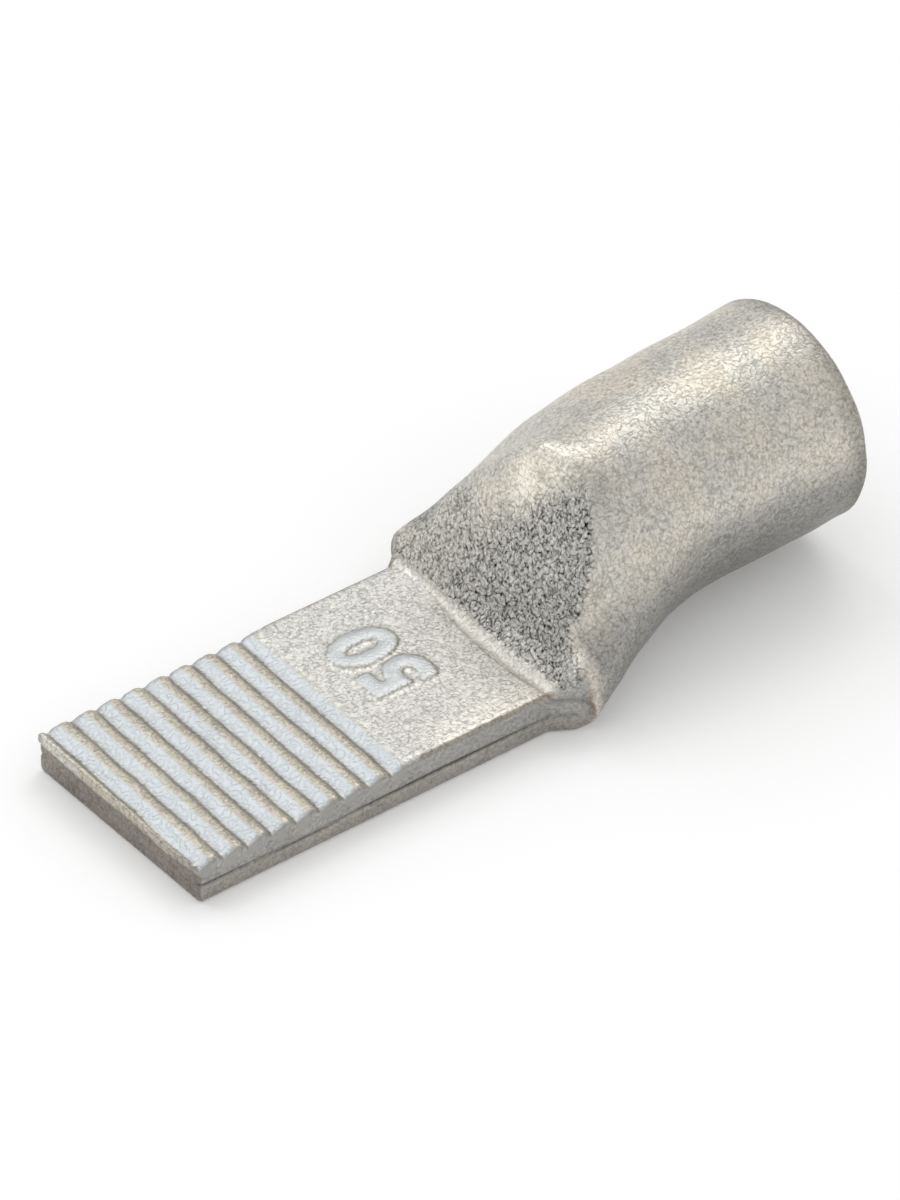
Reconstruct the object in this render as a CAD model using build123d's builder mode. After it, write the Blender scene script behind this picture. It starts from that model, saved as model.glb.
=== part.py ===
from build123d import *

import os
from math import atan2, cos, pi, radians, sin, sqrt, tan

# Pin cable lug: one length of tinned copper tube, left round at the cable end and pressed flat
# into a ribbed pin at the other. Millimetres. The origin is on the underside, at the shoulder where
# the pin ends. The pin runs to -X, the barrel opens to +X, and the underside of the pin lies on Z = 0.

# the tube that the lug is made from
tube_outer = 11.9
tube_wall = 1.2

# the flat pin, two walls of the tube pressed together
pin_length = 22.5
pin_width = 13.0
pin_thickness = 2.5
edge_round = 0.25

# the ribs coined across the pin, counted from its tip
rib_count = 9
rib_pitch = 1.47
rib_depth = 0.38
rib_drop = 0.34
rib_ramp = 0.8
rib_round = 0.08
first_valley = 0.42
rib_skew = 2.1
crest_below_pad = 0.03

# the pressed shoulder between pin and barrel
shoulder_height = 3.0
die_slope = 67.0
die_corner = 0.7
crease_round = 0.5
ear_reach = 0.8
ear_fillet = 1.5
neck_length = 11.5
neck_ease = 1.1
neck_blend = 4.0

# the round barrel, which rises a little from the line of the pin
barrel_length = 9.0
barrel_rise = 3.0
rise_start = 1.5
mouth_bell = 0.12
rim_break = 0.25
bore_depth = 12.0
mouth_chamfer = 0.3

# where the two walls meet inside the pin, seen as a line along its sheared edges
seam_height = 1.0
seam_width = 0.1
seam_depth = 0.2

# the hollow behind the bore, which narrows to a slit where the walls meet
slit_start = 1.0
slit_height = 0.3
slit_run = 3.0
core_step = 0.06

# the press trims this much off the round underside, and the cutters reach this far past the tube
underside_trim = 0.05
clear = 4.0

# how finely the pressed shape is drawn: points round a section, and steps along the tube
section_points = 36
neck_steps = 12
barrel_steps = 4
hollow_steps = 7

tube_radius = tube_outer / 2
bore_radius = tube_radius - tube_wall
mouth_x = neck_length + barrel_length
bore_end = mouth_x - bore_depth


def rise_share(x):
    """How much of the barrel's rise the tube has at x: none at the pin, all at the barrel."""
    return min(1, max(0, (x - rise_start) / (neck_length - rise_start)))


def underside(x):
    """Height of the tube's lowest line at x."""
    return max(0, x - rise_start) * tan(radians(barrel_rise)) - underside_trim


def flat_height(x):
    """Height of the flattened tube at x, from the pin's shoulder to the round barrel."""
    share = min(1, max(0, x / neck_length))
    return shoulder_height + (tube_outer - shoulder_height) * sin(share * pi / 2) ** neck_ease


def bell(x):
    """How far the barrel's outside stands proud of the tube at x."""
    return mouth_bell * max(0, x - neck_length) / barrel_length


def hollow_height(x):
    """Height of the hollow at x, which opens from a slit to the full bore."""
    opened = sin(min(1, max(0, (x - slit_start) / slit_run)) * pi / 2)
    return slit_height + (flat_height(x) - 2 * tube_wall - slit_height) * opened


def soft_max(a, b, width):
    """The larger of two lengths, with the corner between them rounded over the given width."""
    if width <= 0:
        return max(a, b)
    near = max(0, width - abs(a - b)) / width
    return max(a, b) + near * near * width / 4


def section_point(turn, height, half_width, radius, centre_up):
    """A point of the tube's section: a flattened tube with the round crown standing out of it."""
    end = height / 2
    flat = half_width - end
    angle = atan2(end * sin(turn), half_width * cos(turn))
    c, s = cos(angle), sin(angle)
    if flat * abs(s) <= end * abs(c):
        pressed = flat * abs(c) + sqrt(max(0, end * end - flat * flat * s * s))
    else:
        pressed = end / abs(s)
    crown = centre_up * s + sqrt(max(0, radius * radius - centre_up * centre_up * c * c))
    blend = neck_blend * (1 - height / (2 * radius)) * max(0, s)
    reach = soft_max(pressed, crown, blend)
    return reach * c, reach * s


def section_plane(x):
    """The plane of the tube's section at x, with its origin on the tube's lowest line."""
    tilt = radians(barrel_rise * rise_share(x))
    return Plane(origin=(x, 0, underside(x)), x_dir=(0, 1, 0), z_dir=(cos(tilt), 0, sin(tilt)))


def tube_section(x, inset, height):
    """The tube's closed outline at x, moved in by the wall for the hollow."""
    half_width = (pi * tube_outer / 2 - flat_height(x) * (pi / 2 - 1)) / 2 - inset
    radius = tube_radius - inset
    middle = flat_height(x) / 2
    with BuildSketch(section_plane(x)) as section:
        with BuildLine():
            outline = []
            for n in range(section_points):
                turn = 2 * pi * n / section_points - pi / 2
                y, z = section_point(turn, height, half_width, radius, tube_radius - middle)
                outline.append((y, middle + z))
            Spline(*outline, periodic=True)
        make_face()
    return section.sketch


def die_profile(inside):
    """The upper die seen from the side, moved inwards by the wall for the hollow."""
    slope = radians(die_slope)
    low = pin_thickness - inside
    toe = inside * (1 - cos(slope)) / sin(slope)
    rise = tube_outer + clear
    with BuildSketch(Plane.XZ.offset(-tube_outer)) as die:
        with BuildLine():
            Polyline(
                (-pin_length - clear, low),
                (toe, low),
                (toe + rise / tan(slope), low + rise),
                (-pin_length - clear, low + rise),
                close=True,
            )
        make_face()
        fillet(vertices().sort_by_distance((toe, low, 0))[0], die_corner)
    return die.sketch


def rib_profile():
    """The die that coins the ribs, seen from the side: steep drops and gentle ramps."""
    crest = pin_thickness - crest_below_pad
    line = [(-pin_length - clear, crest)]
    for n in range(rib_count):
        valley = -pin_length + first_valley + n * rib_pitch
        line.append((valley - rib_drop, crest))
        line.append((valley, crest - rib_depth))
        if n < rib_count - 1:
            line.append((valley + rib_ramp, crest))
    top = pin_thickness + clear
    line.append((valley + rib_ramp * (top - crest + rib_depth) / rib_depth, top))
    turn = radians(rib_skew)
    across = Plane(origin=(0, 0, 0), x_dir=(cos(turn), -sin(turn), 0), z_dir=(-sin(turn), -cos(turn), 0))
    across = across.offset(-pin_width)
    with BuildSketch(across) as comb:
        with BuildLine():
            Polyline(*line, (-pin_length - clear, top), close=True)
        make_face()
        grooves = [v for v in vertices() if v.Y < pin_thickness and v.X > -pin_length - rib_pitch]
        fillet(grooves, rib_round)
    return comb.sketch


def on_die_face(edge):
    """Whether an edge lies on the die's steep face, above its rounded foot."""
    slope = radians(die_slope)
    for share in (0.0, 0.25, 0.5, 0.75, 1.0):
        spot = edge.position_at(share)
        away = spot.X * sin(slope) - (spot.Z - pin_thickness) * cos(slope)
        if abs(away) > 0.01 or spot.Z < pin_thickness + die_corner / 2:
            return False
    return True


neck_stations = [neck_length * n / neck_steps for n in range(-1, neck_steps + 1)]
barrel_stations = [neck_length + barrel_length * n / barrel_steps for n in range(1, barrel_steps + 1)]
hollow_stations = [slit_start + (bore_end - slit_start) * n / hollow_steps for n in range(hollow_steps + 1)]

# the hollow behind the bore, which follows the neck and closes to a slit
with BuildPart() as hollow:
    for x in hollow_stations:
        add(tube_section(x, tube_wall + core_step, hollow_height(x)))
    loft()
    extrude(die_profile(tube_wall), amount=2 * tube_outer, mode=Mode.SUBTRACT)

with BuildPart() as lug:
    # the whole outside of the tube, from a little way along the pin to the mouth
    for x in neck_stations + barrel_stations:
        add(tube_section(x, -bell(x), flat_height(x) + 2 * bell(x)))
    loft()

    # the flat pin
    with BuildSketch(Plane.XY.offset(-underside_trim)):
        Rectangle(pin_length, pin_width, align=(Align.MAX, Align.CENTER))
    extrude(amount=pin_thickness + 2 * underside_trim)

    # pressed from above
    extrude(die_profile(0), amount=2 * tube_outer, mode=Mode.SUBTRACT)

    # sheared beside the pin, with the ears left outside the cut
    with BuildSketch(Plane.XY.offset(-clear)):
        with Locations((ear_reach, pin_width / 2)):
            Rectangle(pin_length + 2 * clear, clear, align=(Align.MAX, Align.MIN))
        fillet(vertices().group_by(Axis.X)[-1].sort_by(Axis.Y)[0], ear_fillet)
        mirror(about=Plane.XZ)
    extrude(amount=clear * 3, mode=Mode.SUBTRACT)
    split(bisect_by=Plane.XY, keep=Keep.TOP)

    # the die's edge left a soft crease round the shoulder
    crease = lug.edges().filter_by(on_die_face).sort_by(SortBy.LENGTH)[-1]
    fillet(crease, crease_round)

    # the pin's long edges and its tip are a little rounded
    long_edges = lug.edges().filter_by(Axis.X)
    fillet(long_edges, edge_round)
    tip = lug.faces().sort_by(Axis.X)[0]
    fillet(tip.edges(), edge_round / 2)

    # the bore for the cable
    mouth = section_plane(mouth_x)
    bore_mouth = Plane(
        origin=mouth.origin + mouth.y_dir * tube_radius, x_dir=(0, 1, 0), z_dir=mouth.z_dir
    )
    with BuildSketch(bore_mouth):
        Circle(bore_radius)
    extrude(amount=-bore_depth, mode=Mode.SUBTRACT)

    chamfer(lug.faces().sort_by(Axis.X)[-1].inner_wires()[0].edges(), mouth_chamfer)

    # the rim's outer edge, broken all round
    rim = tube_radius + mouth_bell
    with BuildSketch(Plane(origin=bore_mouth.origin, x_dir=mouth.z_dir, z_dir=(0, -1, 0))):
        with BuildLine():
            Polyline(
                (-rim_break - clear, rim + clear),
                (clear, rim - rim_break - clear),
                (clear, rim + clear),
                close=True,
            )
        make_face()
    revolve(axis=Axis(bore_mouth.origin, mouth.z_dir), mode=Mode.SUBTRACT)

    add(hollow.part, mode=Mode.SUBTRACT)

    # ribs coined across the pin
    extrude(rib_profile(), amount=2 * pin_width, mode=Mode.SUBTRACT)

    # the seam of the two walls, open a little along the sheared edges
    side_end = ear_reach - ear_fillet
    with BuildSketch(Plane.XY.offset(seam_height)):
        with Locations((side_end, 0)):
            Rectangle(pin_length + clear, pin_width + clear, align=(Align.MAX, Align.CENTER))
            Rectangle(
                side_end + pin_length - seam_depth,
                pin_width - 2 * seam_depth,
                align=(Align.MAX, Align.CENTER),
                mode=Mode.SUBTRACT,
            )
    extrude(amount=seam_width, mode=Mode.SUBTRACT)

lug.part.label = "pin_lug"
os.makedirs("parts", exist_ok=True)
export_step(lug.part, "parts/pin_lug.step")
box = lug.part.bounding_box()
print("pin_lug", box.size, "volume", round(lug.part.volume, 1), "faces", len(lug.part.faces()))
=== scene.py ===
import math

import bpy
import numpy as np
from mathutils import Matrix, Vector, noise


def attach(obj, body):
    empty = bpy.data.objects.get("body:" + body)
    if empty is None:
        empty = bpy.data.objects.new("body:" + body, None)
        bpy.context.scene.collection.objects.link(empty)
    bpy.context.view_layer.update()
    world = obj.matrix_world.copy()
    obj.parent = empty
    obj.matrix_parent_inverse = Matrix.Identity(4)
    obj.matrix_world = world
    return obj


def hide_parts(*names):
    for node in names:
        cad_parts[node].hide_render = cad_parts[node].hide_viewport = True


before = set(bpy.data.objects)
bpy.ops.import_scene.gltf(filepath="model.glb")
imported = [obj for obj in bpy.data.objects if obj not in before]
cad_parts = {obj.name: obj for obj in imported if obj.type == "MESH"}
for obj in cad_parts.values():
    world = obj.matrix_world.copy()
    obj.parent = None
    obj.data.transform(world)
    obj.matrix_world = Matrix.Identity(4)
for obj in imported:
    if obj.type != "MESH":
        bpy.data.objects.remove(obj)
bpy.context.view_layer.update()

print("frame loaded")

mm = 0.001


def deselectAll():
    bpy.ops.object.select_all(action="DESELECT")


def makeActive(piece):
    deselectAll()
    piece.select_set(True)
    bpy.context.view_layer.objects.active = piece


def applyModifier(piece, kind, **settings):
    makeActive(piece)
    modifier = piece.modifiers.new(kind.title(), kind)
    for name, value in settings.items():
        setattr(modifier, name, value)
    bpy.ops.object.modifier_apply(modifier=modifier.name)


def smoothStep(low, high, value):
    share = np.clip((value - low) / (high - low), 0, 1)
    return share * share * (3 - 2 * share)


def fade(low, high, value):
    return 1 - smoothStep(low, high, value)


def hill(value, centre, reach):
    return np.exp(-(((value - centre) / reach) ** 2))


def distanceFrom(points, place):
    return np.linalg.norm(points - np.array(place), axis=1)


def cloud(points, size, seed=0.0):
    # smooth noise from -1 to 1, one value for each point, with lumps of that size in millimetres
    shift = Vector((seed, seed * 0.37, -seed))
    return np.array([noise.noise(Vector(p) / size + shift) for p in points])


# The lug's own dimensions in millimetres, as the press made them. The pin runs to -X from where it
# meets the neck, and its underside lies on Z = 0. The cutter that sheared it left the ears round.
lugForm = {
    "pinLength": 22.5,
    "pinThickness": 2.5,
    "dieSlope": 67.0,
    "ribSkew": 2.1,
    "ribPitch": 1.47,
    "firstValley": 0.42,
    "ribRamp": 0.8,
    "ribCount": 9,
    "seamHeight": 1.05,
    "seamWander": 0.12,
    "seamWanderSize": 4.0,
    "seamSide": 5,
    "seamSeed": 1.7,
    "barrelRise": 3.0,
    "riseStart": 1.5,
    "axisHeight": 5.9,
    "boreStart": 8.0,
    "facetSkin": (0.2, 0.45),
    "facetFacing": (0.62, 0.82),
    "facetHeights": (2.7, 2.95),
    "topLevels": (-0.8, -0.3),
    "topFacing": (0.3, 0.7),
    "cutX": -0.7,
    "cutY": 8.0,
    "cutRadius": 1.5,
}

# What the press and the tin bath left on it, in millimetres. A pair is the run over which something
# comes in or goes out, a level is counted from the top of the pad, and a seed picks a noise.
lugWear = {
    "voxel": 0.171,
    "weld": 0.0005,
    "crownLean": 1.3,
    "leanLeast": 0.15,
    "leanHeights": (7.5, 11.5),
    "leanDepth": (0.0, 7.0),
    "leanAcross": (-4.5, 1.5),
    "flankPress": 1.2,
    "flankHeight": 9.0,
    "flankReach": 2.4,
    "flankAcross": (-1.0, 5.0),
    "flankDepth": (0.0, 4.0),
    "neckHeights": (3.0, 4.6),
    "neckStart": (-0.6, 0.3),
    "footBow": 0.55,
    "footTop": 3.7,
    "footFront": (-1.6, -0.2),
    "footBack": (1.2, 2.0),
    "footLevels": (-0.6, -0.1),
    "bowMiddle": -3.0,
    "bowReach": 8.8,
    "smoothing": 0.6,
    "backRounds": 35,
    "backAcross": (1.0, 3.0),
    "edgeRounds": 14,
    "edgeDepth": 0.3,
    "edgeReach": 1.3,
    "edgeHeights": (3.6, 4.6),
    "crestRounds": 3,
    "crestsEnd": -8.6,
    "earFlat": 0.16,
    "earSkin": (0.05, 0.3),
    # a bump at the top of the steep face, a dent beside it, a swelling below it, a shallow dent
    # in the barrel, and a fuller front ear
    "bumps": [
        {"place": (3.6, 0.0, 11.2), "reach": 0.95, "height": 0.5},
        {"place": (3.8, -2.7, 11.1), "reach": 0.75, "height": -0.35},
        {"place": (2.6, 1.9, 8.8), "reach": 1.3, "height": 0.28},
        {"place": (9.5, -3.2, 11.2), "reach": 1.1, "height": -0.1},
        {"place": (0.7, -7.0, 3.7), "reach": 0.9, "height": 0.3},
    ],
    "peelDepth": 0.05,
    "peelSize": 0.35,
    "dentsDepth": 0.05,
    "dentsSize": 2.2,
    "dentsSeed": 3.1,
    "dentsStart": (0.5, 3.0),
    "crestWave": 0.07,
    "crestWaveSize": 1.6,
    "crestWaveSeed": 8.3,
    "crestApart": 7.0,
    "wavesEnd": -7.5,
    "tipWave": 0.16,
    "tipWaveSize": 2.4,
    "tipWaveSeed": 5.7,
    "tipRun": (0.1, 0.9),
    "tipLevels": (-0.9, -0.2),
    "tipFace": (0.1, 0.5),
    "tipRoll": 0.2,
    "tipInset": 0.03,
    "rollLevel": -0.78,
    "rollEdge": 0.12,
    "rollWave": 0.25,
    "seamDepth": 0.1,
    "seamWidth": 0.09,
    "seamSides": (6.2, 6.4),
    "seamEnd": (0.2, 0.8),
}

# The size number pressed up out of the pad, with its tops towards the tip.
sizeNumber = {
    "text": "50",
    "height": 3.4,
    "digitShare": 0.69,
    "stroke": 0.1,
    "relief": 0.17,
    "bevel": 0.07,
    "bevelSteps": 2,
    "centre": (-5.6, 0.6),
    "turn": 90,
    "spacing": 1.1,
    "weld": 0.002,
}


def makeNumber():
    deselectAll()
    bpy.ops.object.text_add(location=(0, 0, 0))
    number = bpy.context.object
    number.name = "size_number"
    words = number.data
    words.body = sizeNumber["text"]
    words.size = sizeNumber["height"] / sizeNumber["digitShare"] * mm
    words.align_x = "CENTER"
    words.align_y = "CENTER"
    words.space_character = sizeNumber["spacing"]
    words.offset = sizeNumber["stroke"] * mm
    words.extrude = sizeNumber["relief"] * mm
    words.bevel_depth = sizeNumber["bevel"] * mm
    words.bevel_resolution = sizeNumber["bevelSteps"]
    makeActive(number)
    bpy.ops.object.convert(target="MESH")
    number = bpy.context.object
    x, y = sizeNumber["centre"]
    turn = Matrix.Rotation(math.radians(sizeNumber["turn"]), 4, "Z")
    middle = lugForm["pinThickness"] - sizeNumber["bevel"]
    number.data.transform(Matrix.Translation((x * mm, y * mm, middle * mm)) @ turn)
    applyModifier(number, "WELD", merge_threshold=sizeNumber["weld"] * mm)
    return number


def makeLug():
    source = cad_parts["pin_lug"]
    lug = bpy.data.objects.new("lug_body", source.data.copy())
    bpy.context.collection.objects.link(lug)
    makeActive(lug)
    bpy.ops.object.mode_set(mode="EDIT")
    bpy.ops.mesh.select_all(action="SELECT")
    bpy.ops.mesh.remove_doubles(threshold=lugWear["weld"] * mm)
    bpy.ops.object.mode_set(mode="OBJECT")
    number = makeNumber()
    deselectAll()
    number.select_set(True)
    lug.select_set(True)
    bpy.context.view_layer.objects.active = lug
    bpy.ops.object.join()
    applyModifier(lug, "REMESH", mode="VOXEL", voxel_size=lugWear["voxel"] * mm, adaptivity=0.0)
    return lug


def readPoints(piece):
    mesh = piece.data
    points = np.empty(len(mesh.vertices) * 3)
    mesh.vertices.foreach_get("co", points)
    normals = np.empty(len(mesh.vertices) * 3)
    mesh.vertex_normals.foreach_get("vector", normals)
    return points.reshape(-1, 3) / mm, normals.reshape(-1, 3)


def writePoints(piece, points):
    piece.data.vertices.foreach_set("co", (points * mm).ravel())
    piece.data.update()


def alongRibs(points):
    # distance from the tip, measured square to the ribs
    skew = math.radians(lugForm["ribSkew"])
    return points[:, 0] * math.cos(skew) - points[:, 1] * math.sin(skew) + lugForm["pinLength"]


def awayFromDie(points):
    # depth behind the plane of the die's steep face
    slope = math.radians(lugForm["dieSlope"])
    return points[:, 0] * math.sin(slope) - (points[:, 2] - lugForm["pinThickness"]) * math.cos(slope)


def facetShare(points, normals):
    # one on the steep face that the die left, nought elsewhere
    slope = math.radians(lugForm["dieSlope"])
    facing = -normals[:, 0] * math.sin(slope) + normals[:, 2] * math.cos(slope)
    near = fade(*lugForm["facetSkin"], np.abs(awayFromDie(points)))
    above = smoothStep(*lugForm["facetHeights"], points[:, 2])
    return near * smoothStep(*lugForm["facetFacing"], facing) * above


def footLens(y):
    # how far the foot of the steep face bows out across the pin, most towards the front
    across = (y - lugWear["bowMiddle"]) / lugWear["bowReach"]
    return np.clip(1 - across**2, 0, 1) ** 2


def seamLine(x, y):
    # the height at which the tube's two walls meet along the sheared edges
    side = np.sign(y) * lugForm["seamSide"]
    places = np.column_stack([x, side, x * 0])
    wander = cloud(places, lugForm["seamWanderSize"], lugForm["seamSeed"])
    return lugForm["seamHeight"] + lugForm["seamWander"] * wander


def topSkin(points, normals):
    # one on the top of the pin, with its ribs
    levels = points[:, 2] - lugForm["pinThickness"]
    facing = smoothStep(*lugForm["topFacing"], normals[:, 2])
    return smoothStep(*lugForm["topLevels"], levels) * facing


def relax(lug, points, share, rounds):
    # evens the skin out wherever share is above nought
    ends = np.empty(len(lug.data.edges) * 2, dtype=np.int32)
    lug.data.edges.foreach_get("vertices", ends)
    start, end = ends.reshape(-1, 2).T
    count = np.bincount(ends, minlength=len(points))
    for _ in range(rounds):
        for axis in range(3):
            values = points[:, axis]
            total = np.bincount(start, values[end], len(points))
            total += np.bincount(end, values[start], len(points))
            points[:, axis] += share * (total / count - values)


def leanCrown(points, still):
    # the crown leans to the front beside the die, with its back flank pressed flatter
    x, y, z = still.T
    depth = awayFromDie(still)
    least = lugWear["leanLeast"]
    upwards = least + (1 - least) * smoothStep(*lugWear["leanHeights"], z)
    backwards = least + (1 - least) * smoothStep(*lugWear["leanAcross"], y)
    lean = lugWear["crownLean"] * upwards * fade(*lugWear["leanDepth"], depth) * backwards
    flank = lugWear["flankPress"] * hill(z, lugWear["flankHeight"], lugWear["flankReach"])
    flank *= smoothStep(*lugWear["flankAcross"], y) * fade(*lugWear["flankDepth"], depth)
    standing = smoothStep(*lugWear["neckHeights"], z) * smoothStep(*lugWear["neckStart"], x)
    points[:, 1] -= (lean + flank) * standing


def bowFoot(points, still):
    # the foot of the steep face bows towards the tip
    x, y, z = still.T
    top = lugForm["pinThickness"]
    nearFoot = smoothStep(*lugWear["footFront"], x) * fade(*lugWear["footBack"], x)
    nearFoot *= smoothStep(*lugWear["footLevels"], z - top) * fade(top, lugWear["footTop"], z)
    points[:, 0] -= lugWear["footBow"] * footLens(y) * nearFoot


def roundEdges(lug, points, still, normals):
    # the back edge of the steep face is well rounded, the front edge and the rib crests a little
    x, y, z = still.T
    edge = hill(awayFromDie(still), lugWear["edgeDepth"], lugWear["edgeReach"])
    edge *= smoothStep(*lugWear["edgeHeights"], z) * lugWear["smoothing"]
    crests = lugWear["smoothing"] * topSkin(still, normals) * (x < lugWear["crestsEnd"])
    relax(lug, points, edge * smoothStep(*lugWear["backAcross"], y), lugWear["backRounds"])
    relax(lug, points, edge, lugWear["edgeRounds"])
    relax(lug, points, crests, lugWear["crestRounds"])


def flattenEars(points, still):
    # the ears' sheared faces are flatter than the cutter's round
    x, y, _ = still.T
    cutX, cutY, cutRadius = lugForm["cutX"], lugForm["cutY"], lugForm["cutRadius"]
    reach = np.hypot(x - cutX, np.abs(y) - cutY) - cutRadius
    onEar = fade(*lugWear["earSkin"], reach) * (x > cutX) * (np.abs(y) < cutY)
    fill = lugWear["earFlat"] * onEar * np.sin(np.clip((x - cutX) / cutRadius, 0, 1) * math.pi)
    points[:, 0] -= fill
    points[:, 1] += fill * np.sign(y)


def raiseBumps(points, normals):
    for bump in lugWear["bumps"]:
        away = distanceFrom(points, bump["place"])
        points += normals * (bump["height"] * hill(away, 0, bump["reach"]))[:, None]


def roughenSkin(points, still, normals):
    # orange peel where the steel slid down the steep face, and shallow dents all over the tube
    peel = cloud(points, lugWear["peelSize"]) * facetShare(still, normals) * lugWear["peelDepth"]
    tube = smoothStep(*lugWear["dentsStart"], still[:, 0])
    dents = cloud(points, lugWear["dentsSize"], lugWear["dentsSeed"]) * tube * lugWear["dentsDepth"]
    points += normals * (peel + dents)[:, None]


def waveCrests(points, still, normals):
    # the rib crests wander a little, each in its own way
    x, y, _ = still.T
    ownLine = np.round(alongRibs(points) / lugForm["ribPitch"]) * lugWear["crestApart"]
    places = np.column_stack([y * 0, y, ownLine])
    wander = cloud(places, lugWear["crestWaveSize"], lugWear["crestWaveSeed"])
    ribs = topSkin(still, normals) * (x < lugWear["wavesEnd"])
    points[:, 0] += wander * lugWear["crestWave"] * ribs


def rollTip(points, still):
    # the first crest wanders most, and is rolled over the end face
    x, y, z = still.T
    fromTip = x + lugForm["pinLength"]
    levels = z - lugForm["pinThickness"]
    atTip = fade(*lugWear["tipRun"], fromTip) * smoothStep(*lugWear["tipLevels"], levels)
    places = np.column_stack([y * 0, y, y * 0])
    lumps = cloud(places, lugWear["tipWaveSize"], lugWear["tipWaveSeed"])
    points[:, 2] += np.clip(lumps, -1, 0) * lugWear["tipWave"] * atTip
    points[:, 0] += np.clip(lumps, 0, 1) * lugWear["tipWave"] * atTip
    roll = lugWear["rollLevel"] + lugWear["rollWave"] * lumps
    under = fade(roll - lugWear["rollEdge"], roll + lugWear["rollEdge"], levels)
    endFace = fade(*lugWear["tipFace"], fromTip)
    points[:, 0] += (lugWear["tipInset"] + lugWear["tipRoll"] * under) * endFace


def sinkSeam(points, still):
    # the two walls of the tube meet in a line along the sheared edges
    x, y, z = still.T
    onSide = smoothStep(*lugWear["seamSides"], np.abs(y)) * fade(*lugWear["seamEnd"], x)
    groove = hill(z, seamLine(x, y), lugWear["seamWidth"]) * onSide
    points[:, 1] -= np.sign(y) * groove * lugWear["seamDepth"]


def wearLug(lug):
    points, normals = readPoints(lug)
    still = points.copy()  # where each point stood before the wear
    leanCrown(points, still)
    bowFoot(points, still)
    roundEdges(lug, points, still, normals)
    flattenEars(points, still)
    raiseBumps(points, normals)
    roughenSkin(points, still, normals)
    waveCrests(points, still, normals)
    rollTip(points, still)
    sinkSeam(points, still)
    # nothing stands proud of the part's own size
    points[:, 0] = np.maximum(points[:, 0], -lugForm["pinLength"])
    points[:, 2] = np.maximum(points[:, 2], 0)
    writePoints(lug, points)


# Where the tin's colour differs from place to place, some of it the tin's own and some of it painted
# shade and painted highlight, in millimetres. A pair is the run over which a mark comes in or goes out,
# a level is counted from the top of the pad, and a facing is a part of the normal.
lugMarks = {
    # the pad and its number, with painted shade on the number's lower sides
    "upFacing": (0.55, 0.85),
    "padLevels": (-0.3, -0.1),
    "padOver": (0.1, 0.3),
    "padEnd": 0.4,
    "paleLevel": -0.2,
    "paleAcross": (4.3, 5.6),
    "paleAlong": (-8.2, -6.5),
    "paleEnd": -0.6,
    "numberAlong": (-9.2, -2.0),
    "numberLevels": (0.09, 0.13),
    "outlineLevel": 0.07,
    "outlineReach": 0.03,
    # the foot of the steep face
    "footBow": 0.93,
    "footStart": (-0.05, 0.1),
    "footEnd": (0.4, 0.8),
    "footLevels": (-0.15, -0.05),
    "footOver": (0.2, 0.4),
    "footSides": 6.6,
    # the ribs, along one pitch from the foot of a ramp; the drop behind each crest is painted darker,
    # as painted shade
    "firstRib": -0.35,
    "ribLevels": (-1.0, -0.7),
    "rampStart": (-0.02, 0.12),
    "rampEnd": (0.72, 0.86),
    "crestStart": (0.62, 0.78),
    "dropStart": (1.16, 1.26),
    # the steep face, painted darker as painted shade and lighter towards its top and back as a painted
    # highlight, the flank where the crown slipped, the bump on top with its painted highlight, and the
    # notch beside it with its painted shade
    "slipAcross": (2.0, 3.6),
    "slipDepth": (1.5, 3.2),
    "slipHeights": (3.4, 4.2),
    "slipFacing": (-0.2, 0.3),
    "liftHeights": (7.2, 10.4),
    "liftAcross": (-4, 1.5),
    "liftShare": 0.95,
    "backAcross": (0, 4),
    "backShare": 0.4,
    "apexAcross": 1.6,
    "apexAcrossReach": 1.5,
    "apexHeight": 9.8,
    "apexHeightReach": 1.3,
    "bumpPlace": (3.7, -0.2, 11.4),
    "bumpReach": 1.1,
    "notchPlace": (4.4, -3.1, 10.9),
    "notchReach": 1.2,
    "notchShare": 0.8,
    # the tube's lower side, painted darker as painted shade, and its rim
    "downFacing": (-0.42, 0.3),
    "lowHeights": (3.8, 6.2),
    "lowRise": 0.35,
    "lowRun": (2, 9),
    "lowShare": 0.85,
    "lowStart": (0.9, 1.8),
    "boreSkin": (5.2, 5.5),
    "rimRun": (18.2, 20.0),
    "rimShare": 0.6,
    "mouthRun": (20.05, 20.2),
    "mouthShare": 0.4,
    # the sheared edges, the end face and the burrs along them
    "shearFacing": (0.55, 0.8),
    "edgeSides": (6.0, 6.3),
    "cutSkin": (0.08, 0.2),
    "cutTop": 4.4,
    "cutMargin": 0.1,
    "wallEdge": (-0.05, 0.05),
    "seamReach": 0.07,
    "seamEnd": 0.6,
    "tipFacing": (0.5, 0.85),
    "tipEnd": -22.0,
    "tipLevels": (-0.85, -0.7),
    "burrReach": 0.12,
    "burrSide": 6.45,
    "burrLevel": -0.06,
    "burrStart": -8.8,
    "tipBurrEnd": -22.2,
    "tipBurrLevel": -0.78,
    "tipBurrReach": 0.08,
    "tipBurrShare": 0.6,
    "footBurr": -0.02,
    "footBurrReach": 0.1,
    "footBurrShare": 0.5,
    "footBurrSides": 6.4,
    "footBurrEnd": 0.3,
    "earBurrLevel": 0.1,
    "cornerBurr": 0.8,
    "cornerBurrReach": 0.2,
}


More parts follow.
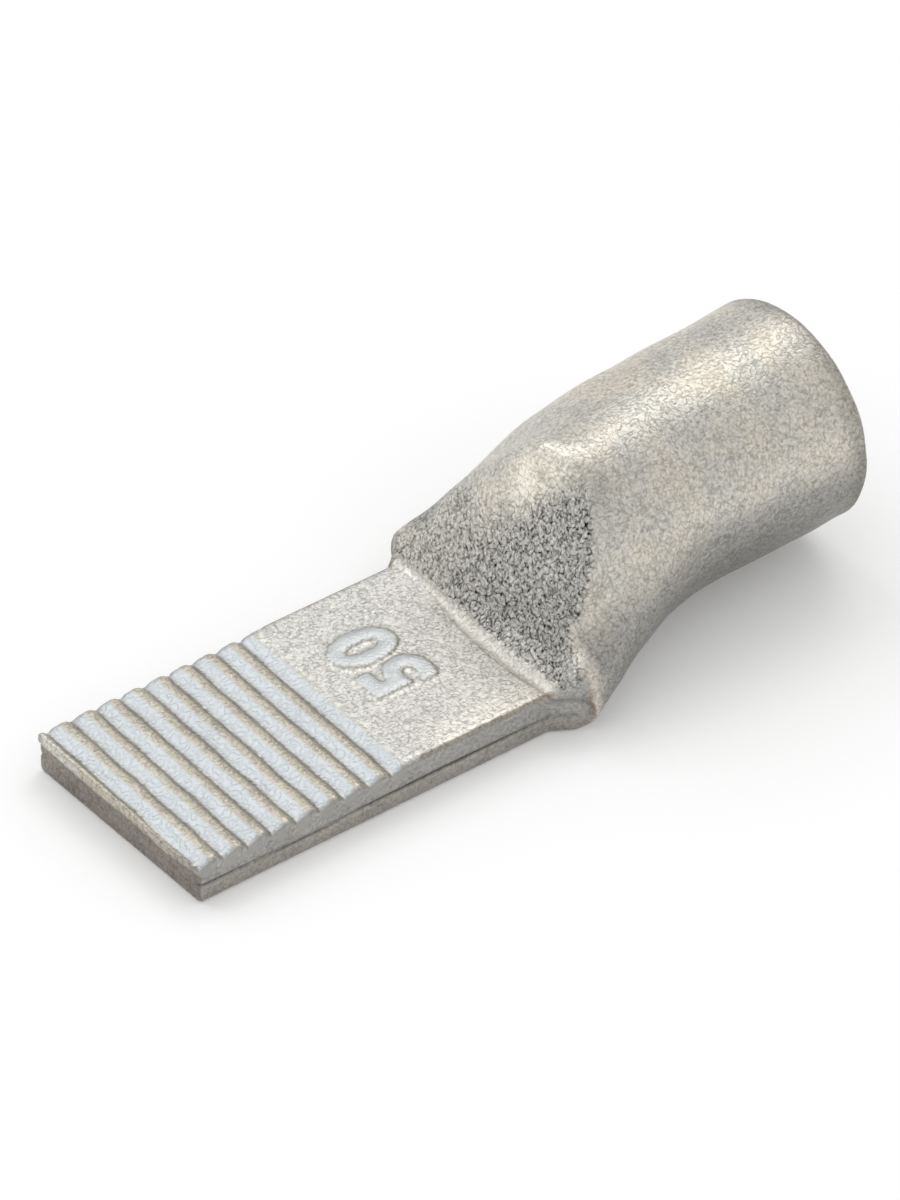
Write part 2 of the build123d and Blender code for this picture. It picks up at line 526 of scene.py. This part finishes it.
def markPad(points, normals):
    x, y, z = points.T
    level = z - lugForm["pinThickness"]
    up = smoothStep(*lugMarks["upFacing"], normals[:, 2])
    pad = up * smoothStep(*lugMarks["padLevels"], level) * fade(*lugMarks["padOver"], level)
    pale = up * (level > lugMarks["paleLevel"]) * (x < lugMarks["paleEnd"])
    pale *= smoothStep(*lugMarks["paleAcross"], -y) * smoothStep(*lugMarks["paleAlong"], x)
    start, end = lugMarks["numberAlong"]
    nearNumber = (x > start) * (x < end)
    return {
        "padMask": pad * (x < lugMarks["padEnd"]),
        "palePadMask": pale,
        "outlineShadeMask": hill(level, lugMarks["outlineLevel"], lugMarks["outlineReach"]) * nearNumber,
        "numberMask": smoothStep(*lugMarks["numberLevels"], level) * nearNumber,
    }


def markRibs(points):
    turn = (alongRibs(points) - lugForm["firstValley"]) / lugForm["ribPitch"]
    within = (turn - np.floor(turn)) * lugForm["ribPitch"]
    lastTurn = lugForm["ribCount"] - 1 + lugForm["ribRamp"] / lugForm["ribPitch"]
    ribbed = (turn > lugMarks["firstRib"]) * (turn < lastTurn)
    ribbed = ribbed * smoothStep(*lugMarks["ribLevels"], points[:, 2] - lugForm["pinThickness"])
    ramp = smoothStep(*lugMarks["rampStart"], within) * fade(*lugMarks["rampEnd"], within)
    crest = smoothStep(*lugMarks["crestStart"], within) * fade(*lugMarks["dropStart"], within)
    return {
        "rampMask": ramp * ribbed,
        "crestMask": crest * ribbed,
        # painted shade on the drop behind each crest
        "dropShadeMask": smoothStep(*lugMarks["dropStart"], within) * ribbed,
    }


def markSteepFace(points, normals):
    x, y, z = points.T
    facet = facetShare(points, normals)
    depth = awayFromDie(points)
    slipped = smoothStep(*lugMarks["slipAcross"], y) * fade(*lugMarks["slipDepth"], depth)
    slipped *= smoothStep(*lugMarks["slipHeights"], z) * (x > 0)
    slipped *= smoothStep(*lugMarks["slipFacing"], normals[:, 2])
    # the steep face and the slipped flank are painted darker as painted shade; the same mask
    # strengthens the tin's own grain there
    rough = np.maximum(facet, slipped)
    # painted highlight: the dark paint lifts towards the top and the back of the steep face
    lift = smoothStep(*lugMarks["liftHeights"], z + np.clip(y, *lugMarks["liftAcross"]))
    rough = rough * (1 - lugMarks["liftShare"] * lift)
    rough *= 1 - lugMarks["backShare"] * smoothStep(*lugMarks["backAcross"], y)
    # painted highlight on the upper middle of the steep face and on the bump at its top
    apex = facet * hill(y, lugMarks["apexAcross"], lugMarks["apexAcrossReach"])
    apex *= hill(z, lugMarks["apexHeight"], lugMarks["apexHeightReach"])
    bump = hill(distanceFrom(points, lugMarks["bumpPlace"]), 0, lugMarks["bumpReach"])
    # painted shade in the concave notch beside the bump
    notch = hill(distanceFrom(points, lugMarks["notchPlace"]), 0, lugMarks["notchReach"])
    return {
        "facetGrainAndShadeMask": rough,
        "apexHighlightMask": apex + bump,
        "notchShadeMask": lugMarks["notchShare"] * notch,
    }


def markTube(points, normals):
    x, y, z = points.T
    rise = math.tan(math.radians(lugForm["barrelRise"]))
    axis = lugForm["axisHeight"] + (x - lugForm["riseStart"]) * rise
    outside = smoothStep(*lugMarks["boreSkin"], np.hypot(y, z - axis))
    outside = np.where(x < lugForm["boreStart"], 1, outside)
    lowStart, lowEnd = lugMarks["lowRun"]
    height = z - lugMarks["lowRise"] * (np.clip(x, lowStart, lowEnd) - lowStart)
    # painted shade: the downward-facing side and the lower part of the tube are painted darker
    low = smoothStep(*lugMarks["downFacing"], -normals[:, 2])
    low = np.maximum(low, lugMarks["lowShare"] * fade(*lugMarks["lowHeights"], height))
    low = low * smoothStep(*lugMarks["lowStart"], x) * (1 - facetShare(points, normals))
    rim = lugMarks["rimShare"] * smoothStep(*lugMarks["rimRun"], x)
    rim = rim + lugMarks["mouthShare"] * smoothStep(*lugMarks["mouthRun"], x)
    return {
        "lowShadeMask": low * outside,
        "rimMask": rim * outside,
    }


def markEdges(points, normals):
    x, y, z = points.T
    side = np.abs(y)
    level = z - lugForm["pinThickness"]
    cutX, cutY, burr = lugForm["cutX"], lugForm["cutY"], lugMarks["burrReach"]

    # the foot of the steep face
    band = x + lugMarks["footBow"] * footLens(y)
    foot = smoothStep(*lugMarks["footStart"], band) * fade(*lugMarks["footEnd"], x)
    foot *= smoothStep(*lugMarks["footLevels"], level) * fade(*lugMarks["footOver"], level)

    # the sheared sides, with the ears' round corners, painted darker as painted shade; below the seam
    # the lower wall takes a warmer tone of that painted shade
    sheared = smoothStep(*lugMarks["shearFacing"], np.hypot(normals[:, 0], normals[:, 1]))
    onEdge = smoothStep(*lugMarks["edgeSides"], side)
    cutRound = np.hypot(x - cutX, side - cutY)
    onCut = fade(*lugMarks["cutSkin"], np.abs(cutRound - lugForm["cutRadius"]))
    onCut = onCut * (x > cutX) * (z < lugMarks["cutTop"])
    onCut = np.maximum(onCut, (x <= cutX) * (level < 0)) * onEdge
    onCut = onCut * (side < cutY + lugMarks["cutMargin"])
    seam = seamLine(x, y)
    tip = smoothStep(*lugMarks["tipFacing"], -normals[:, 0]) * (x < lugMarks["tipEnd"])

    # burrs along the pad, the tip, the foot, the ears' cut faces and their outer corners
    burrs = hill(side, lugMarks["burrSide"], burr) * hill(level, lugMarks["burrLevel"], burr)
    burrs = burrs * (x > lugMarks["burrStart"]) * (x < 0)
    tipBurr = hill(level, lugMarks["tipBurrLevel"], lugMarks["tipBurrReach"])
    burrs += lugMarks["tipBurrShare"] * tipBurr * (x < lugMarks["tipBurrEnd"])
    footReach = lugMarks["footBurrReach"]
    footBurr = hill(band, lugMarks["footBurr"], footReach) * hill(level, 0, footReach)
    footBurr = footBurr * (side < lugMarks["footBurrSides"]) * (x < lugMarks["footBurrEnd"])
    burrs += lugMarks["footBurrShare"] * footBurr
    burrs += onCut * (1 - sheared) * (x > cutX) * (level > lugMarks["earBurrLevel"])
    burrs += hill(side, cutY, burr) * hill(x, lugMarks["cornerBurr"], lugMarks["cornerBurrReach"])
    return {
        "sideShadeMask": sheared * onCut,
        "lowerWallShadeMask": sheared * onCut * fade(*lugMarks["wallEdge"], z - seam),
        "tipMask": tip * fade(*lugMarks["tipLevels"], level),
        "seamMask": hill(z, seam, lugMarks["seamReach"]) * onEdge * (x < lugMarks["seamEnd"]),
        "footMask": foot * (side < lugMarks["footSides"]),
        "burrMask": burrs,
    }


def markLug(lug):
    points, normals = readPoints(lug)
    marks = {
        **markPad(points, normals),
        **markRibs(points),
        **markSteepFace(points, normals),
        **markTube(points, normals),
        **markEdges(points, normals),
    }
    for name, values in marks.items():
        layer = lug.data.attributes.new(name, "FLOAT", "POINT")
        layer.data.foreach_set("value", np.asarray(values, dtype=np.float32))


lugPiece = makeLug()
lugPiece.data.calc_loop_triangles()
print("lug remeshed,", len(lugPiece.data.loop_triangles), "triangles")
markLug(lugPiece)
wearLug(lugPiece)
makeActive(lugPiece)
bpy.ops.object.shade_smooth()
print("lug marked and worn")


# The tin's colours, one for each place: some the press and the bath left different, and some painted
# shade and painted highlight that stand in for light. They are laid on in this order, over warm and
# cool plain tin.
tinColours = {
    "padMask": (0.62, 0.61, 0.575),
    "palePadMask": (0.74, 0.715, 0.66),
    "rampMask": (0.53, 0.552, 0.565),
    "crestMask": (0.51, 0.475, 0.40),
    # painted shade on the drops behind the rib crests
    "dropShadeMask": (0.36, 0.34, 0.295),
    # painted shade on the steep face, which also carries its stronger grain
    "facetGrainAndShadeMask": (0.41, 0.40, 0.37),
    # painted shade on the tube's lower side and underside
    "lowShadeMask": (0.29, 0.282, 0.262),
    # painted shade on the sheared sides, warmer on the lower wall
    "sideShadeMask": (0.385, 0.378, 0.355),
    "lowerWallShadeMask": (0.38, 0.36, 0.325),
    "tipMask": (0.27, 0.245, 0.215),
    "seamMask": (0.09, 0.085, 0.075),
    "footMask": (0.58, 0.555, 0.505),
    # painted highlight on the bump at the top of the steep face and below it
    "apexHighlightMask": (0.95, 0.90, 0.78),
    # painted shade in the notch beside the bump
    "notchShadeMask": (0.40, 0.39, 0.36),
    "rimMask": (0.205, 0.193, 0.17),
    "burrMask": (0.28, 0.22, 0.155),
    # painted shade on the lower sides of the raised number
    "outlineShadeMask": (0.38, 0.36, 0.32),
    "numberMask": (0.60, 0.62, 0.625),
}

tinFinish = {
    "warmPlain": (0.62, 0.58, 0.505),
    "coolPlain": (0.59, 0.575, 0.525),
    "patchEdges": (0.4, 0.6),
    "metallic": 1.0,
    "roughness": 0.34,
    "roughnessSwing": 0.16,
    "grainSize": 0.16,
    "grainDepth": 0.35,
    "bumpDistance": 0.05,
    "speckShare": 0.44,
    "speckChange": {
        "facetGrainAndShadeMask": 0.78,
        "rampMask": -0.34,
        "numberMask": -0.4,
        "sideShadeMask": -0.14,
        "footMask": -0.2,
    },
    "driftShare": 0.35,
    "wrinkleShare": 0.7,
    "wrinkleMean": 0.68,
}

# The grain itself: specks of tin, thin worm-like wrinkles, and clouds a few millimetres wide.
tinGrain = {
    "speckDetail": 2.0,
    "speckRoughness": 0.6,
    "speckEdges": (0.32, 0.68),
    "wrinkleDetail": 1.0,
    "wrinkleCoarseness": 0.42,
    "wrinkleWidth": 0.09,
    "wrinkleHeight": 0.6,
    "cloudDetail": 3.0,
    "cloudsPerMm": 0.4,
}


def newGroup(name, inputs, outputs):
    group = bpy.data.node_groups.new(name, "ShaderNodeTree")
    for label, kind, value in inputs:
        socket = group.interface.new_socket(label, in_out="INPUT", socket_type=kind)
        if value is not None:
            socket.default_value = value
    for label, kind in outputs:
        group.interface.new_socket(label, in_out="OUTPUT", socket_type=kind)
    start = group.nodes.new("NodeGroupInput")
    end = group.nodes.new("NodeGroupOutput")
    return group, start, end


def addMath(tree, operation, first, second):
    node = tree.nodes.new("ShaderNodeMath")
    node.operation = operation
    for socket, value in zip(node.inputs, (first, second)):
        if isinstance(value, (int, float)):
            socket.default_value = value
        else:
            tree.links.new(value, socket)
    return node.outputs[0]


def addNoise(tree, vector, detail):
    node = tree.nodes.new("ShaderNodeTexNoise")
    node.inputs["Detail"].default_value = detail
    tree.links.new(vector, node.inputs["Vector"])
    return node


def addSpread(tree, value, low, high):
    # stretches what lies between low and high to run from nought to one
    node = tree.nodes.new("ShaderNodeMapRange")
    node.inputs["From Min"].default_value = low
    node.inputs["From Max"].default_value = high
    tree.links.new(value, node.inputs["Value"])
    return node.outputs[0]


def makeGrainGroup():
    # Puts out specks, wrinkles and a height, all from the same fine crystals of tin, and larger clouds.
    group, start, end = newGroup(
        "tinGrain",
        [
            ("Vector", "NodeSocketVector", None),
            ("Size", "NodeSocketFloat", tinFinish["grainSize"]),
        ],
        [
            ("Specks", "NodeSocketFloat"),
            ("Wrinkles", "NodeSocketFloat"),
            ("Height", "NodeSocketFloat"),
            ("Cloud", "NodeSocketFloat"),
        ],
    )
    links = group.links
    place = start.outputs["Vector"]
    scale = addMath(group, "DIVIDE", 1 / mm, start.outputs["Size"])
    fine = addNoise(group, place, tinGrain["speckDetail"])
    fine.inputs["Roughness"].default_value = tinGrain["speckRoughness"]
    links.new(scale, fine.inputs["Scale"])
    large = addNoise(group, place, tinGrain["cloudDetail"])
    large.inputs["Scale"].default_value = tinGrain["cloudsPerMm"] / mm
    links.new(addSpread(group, fine.outputs["Fac"], *tinGrain["speckEdges"]), end.inputs["Specks"])

    # the wrinkles run where a coarser noise crosses its middle
    coarse = addNoise(group, place, tinGrain["wrinkleDetail"])
    coarseScale = addMath(group, "MULTIPLY", scale, tinGrain["wrinkleCoarseness"])
    links.new(coarseScale, coarse.inputs["Scale"])
    aside = addMath(group, "SUBTRACT", coarse.outputs["Fac"], 0.5)
    aside = addMath(group, "ABSOLUTE", aside, 0.0)
    wrinkle = addSpread(group, aside, 0, tinGrain["wrinkleWidth"])
    links.new(wrinkle, end.inputs["Wrinkles"])
    height = addMath(group, "MULTIPLY", wrinkle, tinGrain["wrinkleHeight"])
    links.new(addMath(group, "ADD", fine.outputs["Fac"], height), end.inputs["Height"])
    links.new(large.outputs["Fac"], end.inputs["Cloud"])
    return group


def layTone(tree, share, below, tone):
    mix = tree.nodes.new("ShaderNodeMix")
    mix.data_type = "RGBA"
    tree.links.new(share, mix.inputs["Factor"])
    tree.links.new(below, mix.inputs["A"])
    mix.inputs["B"].default_value = (*tone, 1)
    return mix.outputs["Result"]


def makeTin(grainGroup):
    tin = bpy.data.materials.new("tinned_copper")
    tin.use_nodes = True
    tree = tin.node_tree
    nodes, links = tree.nodes, tree.links
    shader = nodes["Principled BSDF"]
    shader.inputs["Metallic"].default_value = tinFinish["metallic"]
    place = nodes.new("ShaderNodeTexCoord")
    grain = nodes.new("ShaderNodeGroup")
    grain.node_tree = grainGroup
    grain.inputs["Size"].default_value = tinFinish["grainSize"]
    links.new(place.outputs["Object"], grain.inputs["Vector"])
    clouds = grain.outputs["Cloud"]

    # warm and cool patches of tin drift into each other
    blend = nodes.new("ShaderNodeMix")
    blend.data_type = "RGBA"
    blend.inputs["A"].default_value = (*tinFinish["coolPlain"], 1)
    blend.inputs["B"].default_value = (*tinFinish["warmPlain"], 1)
    links.new(addSpread(tree, clouds, *tinFinish["patchEdges"]), blend.inputs["Factor"])
    colour = blend.outputs["Result"]

    # each place's tone goes over them, the painted shade and painted highlight among them
    masks = {}
    for name, tone in tinColours.items():
        mask = nodes.new("ShaderNodeAttribute")
        mask.attribute_name = name
        masks[name] = mask.outputs["Fac"]
        colour = layTone(tree, masks[name], colour, tone)

    # specks and wrinkles are strong on the steep face and weak on the burnished places
    strength = tinFinish["speckShare"]
    for name, more in tinFinish["speckChange"].items():
        strength = addMath(tree, "ADD", addMath(tree, "MULTIPLY", masks[name], more), strength)
    marks = addMath(tree, "MULTIPLY", grain.outputs["Wrinkles"], tinFinish["wrinkleShare"])
    marks = addMath(tree, "ADD", grain.outputs["Specks"], marks)
    average = 0.5 + tinFinish["wrinkleMean"] * tinFinish["wrinkleShare"]
    swing = addMath(tree, "MULTIPLY", addMath(tree, "SUBTRACT", marks, average), strength)
    drift = addMath(tree, "SUBTRACT", clouds, 0.5)
    drift = addMath(tree, "MULTIPLY", drift, tinFinish["driftShare"])
    level = addMath(tree, "ADD", addMath(tree, "ADD", swing, drift), 1.0)
    tint = nodes.new("ShaderNodeVectorMath")
    tint.operation = "SCALE"
    links.new(colour, tint.inputs[0])
    links.new(level, tint.inputs["Scale"])
    links.new(tint.outputs[0], shader.inputs["Base Color"])

    rough = addMath(tree, "MULTIPLY_ADD", clouds, tinFinish["roughnessSwing"])
    rough.node.inputs[2].default_value = tinFinish["roughness"]
    links.new(rough, shader.inputs["Roughness"])
    bump = nodes.new("ShaderNodeBump")
    bump.inputs["Distance"].default_value = tinFinish["bumpDistance"] * mm
    bump.inputs["Strength"].default_value = tinFinish["grainDepth"]
    links.new(grain.outputs["Height"], bump.inputs["Height"])
    links.new(bump.outputs[0], shader.inputs["Normal"])
    return tin


tinMaterial = makeTin(makeGrainGroup())
lugPiece.data.materials.clear()
lugPiece.data.materials.append(tinMaterial)
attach(lugPiece, "root")
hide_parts("pin_lug")
print("tin laid on")


# The camera, as the photograph was taken. Lengths are in millimetres, and the shifts in pixels of a
# picture 900 wide and 1200 high.
view = {
    "azimuth": -39.455,
    "elevation": 37.698,
    "roll": 1.239,
    "distance": 392.355,
    "pixelsPerMm": 20.259,
    "shiftX": 21.716,
    "shiftY": -12.205,
    "target": (-0.5, 0.0, 5.0),
    "frameHeight": 1200,
    "sensor": 36.0,
    "farthest": 10000,
}


def makeCamera():
    azimuth, elevation, roll = (math.radians(view[name]) for name in ("azimuth", "elevation", "roll"))
    back = Vector((
        math.sin(azimuth) * math.cos(elevation),
        -math.cos(azimuth) * math.cos(elevation),
        math.sin(elevation),
    ))
    right = Matrix.Rotation(roll, 3, back) @ Vector((math.cos(azimuth), math.sin(azimuth), 0))
    up = back.cross(right)
    place = Vector(view["target"]) + view["distance"] * back
    place += (-view["shiftX"] * right + view["shiftY"] * up) / view["pixelsPerMm"]
    lens = bpy.data.cameras.new("camera")
    lens.sensor_fit = "VERTICAL"
    lens.sensor_height = view["sensor"]
    lens.lens = view["pixelsPerMm"] * view["distance"] / view["frameHeight"] * view["sensor"]
    lens.clip_end = view["farthest"] * mm
    camera = bpy.data.objects.new("camera", lens)
    turn = Matrix((right, up, back)).transposed().to_4x4()
    camera.matrix_world = Matrix.Translation(place * mm) @ turn
    bpy.context.collection.objects.link(camera)
    bpy.context.scene.camera = camera


# The studio, in metres: a white floor, and two large soft lamps behind and above. A lamp's glow is what
# polished metal shows of it.
studio = {
    "floorSize": 6.0,
    "floorColour": (0.97, 0.97, 0.97),
    "floorRoughness": 0.9,
    "floorShine": 0.0,
    "floorGlow": 0.1,
    "worldColour": (1, 1, 1),
    "worldStrength": 0.78,
    "lampDistance": 1.5,
    "lamps": {
        "barrelSoftbox": {
            "toward": (0.48, 0.31, 0.82),
            "size": 0.75,
            "glow": 1.75,
            "colour": (1.0, 0.98, 0.95),
        },
        "ribSoftbox": {
            "toward": (-0.15, 0.62, 0.77),
            "size": 1.0,
            "glow": 1.2,
            "colour": (0.94, 0.98, 1.0),
        },
    },
}


def makeFloor():
    deselectAll()
    bpy.ops.mesh.primitive_plane_add(size=studio["floorSize"], location=(0, 0, 0))
    floor = bpy.context.object
    floor.name = "floor"
    paint = bpy.data.materials.new("floor_white")
    paint.use_nodes = True
    tree = paint.node_tree
    shader = tree.nodes["Principled BSDF"]
    shader.inputs["Base Color"].default_value = (*studio["floorColour"], 1)
    shader.inputs["Roughness"].default_value = studio["floorRoughness"]
    shader.inputs["Specular IOR Level"].default_value = studio["floorShine"]

    # the floor glows a little, but only to the camera and in reflections
    path = tree.nodes.new("ShaderNodeLightPath")
    seen = addMath(tree, "ADD", path.outputs["Is Camera Ray"], path.outputs["Is Glossy Ray"])
    seen = addMath(tree, "ADD", seen, path.outputs["Is Transmission Ray"])
    glow = addMath(tree, "MULTIPLY", seen, studio["floorGlow"])
    shader.inputs["Emission Color"].default_value = (1, 1, 1, 1)
    tree.links.new(glow, shader.inputs["Emission Strength"])
    floor.data.materials.append(paint)


def makeLamps():
    for name, lamp in studio["lamps"].items():
        data = bpy.data.lights.new(name, "AREA")
        data.shape = "DISK"
        data.size = lamp["size"]
        data.energy = lamp["glow"] * math.pi * math.pi * (lamp["size"] / 2) ** 2
        data.color = lamp["colour"]
        holder = bpy.data.objects.new(name, data)
        place = Vector(lamp["toward"]).normalized() * studio["lampDistance"]
        turn = place.to_track_quat("Z", "Y").to_matrix().to_4x4()
        holder.matrix_world = Matrix.Translation(place) @ turn
        bpy.context.collection.objects.link(holder)


def makeWorld():
    world = bpy.data.worlds.new("studio_white")
    world.use_nodes = True
    background = world.node_tree.nodes["Background"]
    background.inputs["Color"].default_value = (*studio["worldColour"], 1)
    background.inputs["Strength"].default_value = studio["worldStrength"]
    bpy.context.scene.world = world


makeCamera()
makeFloor()
makeLamps()
makeWorld()
bpy.context.scene.view_settings.view_transform = "Standard"
print("studio set")
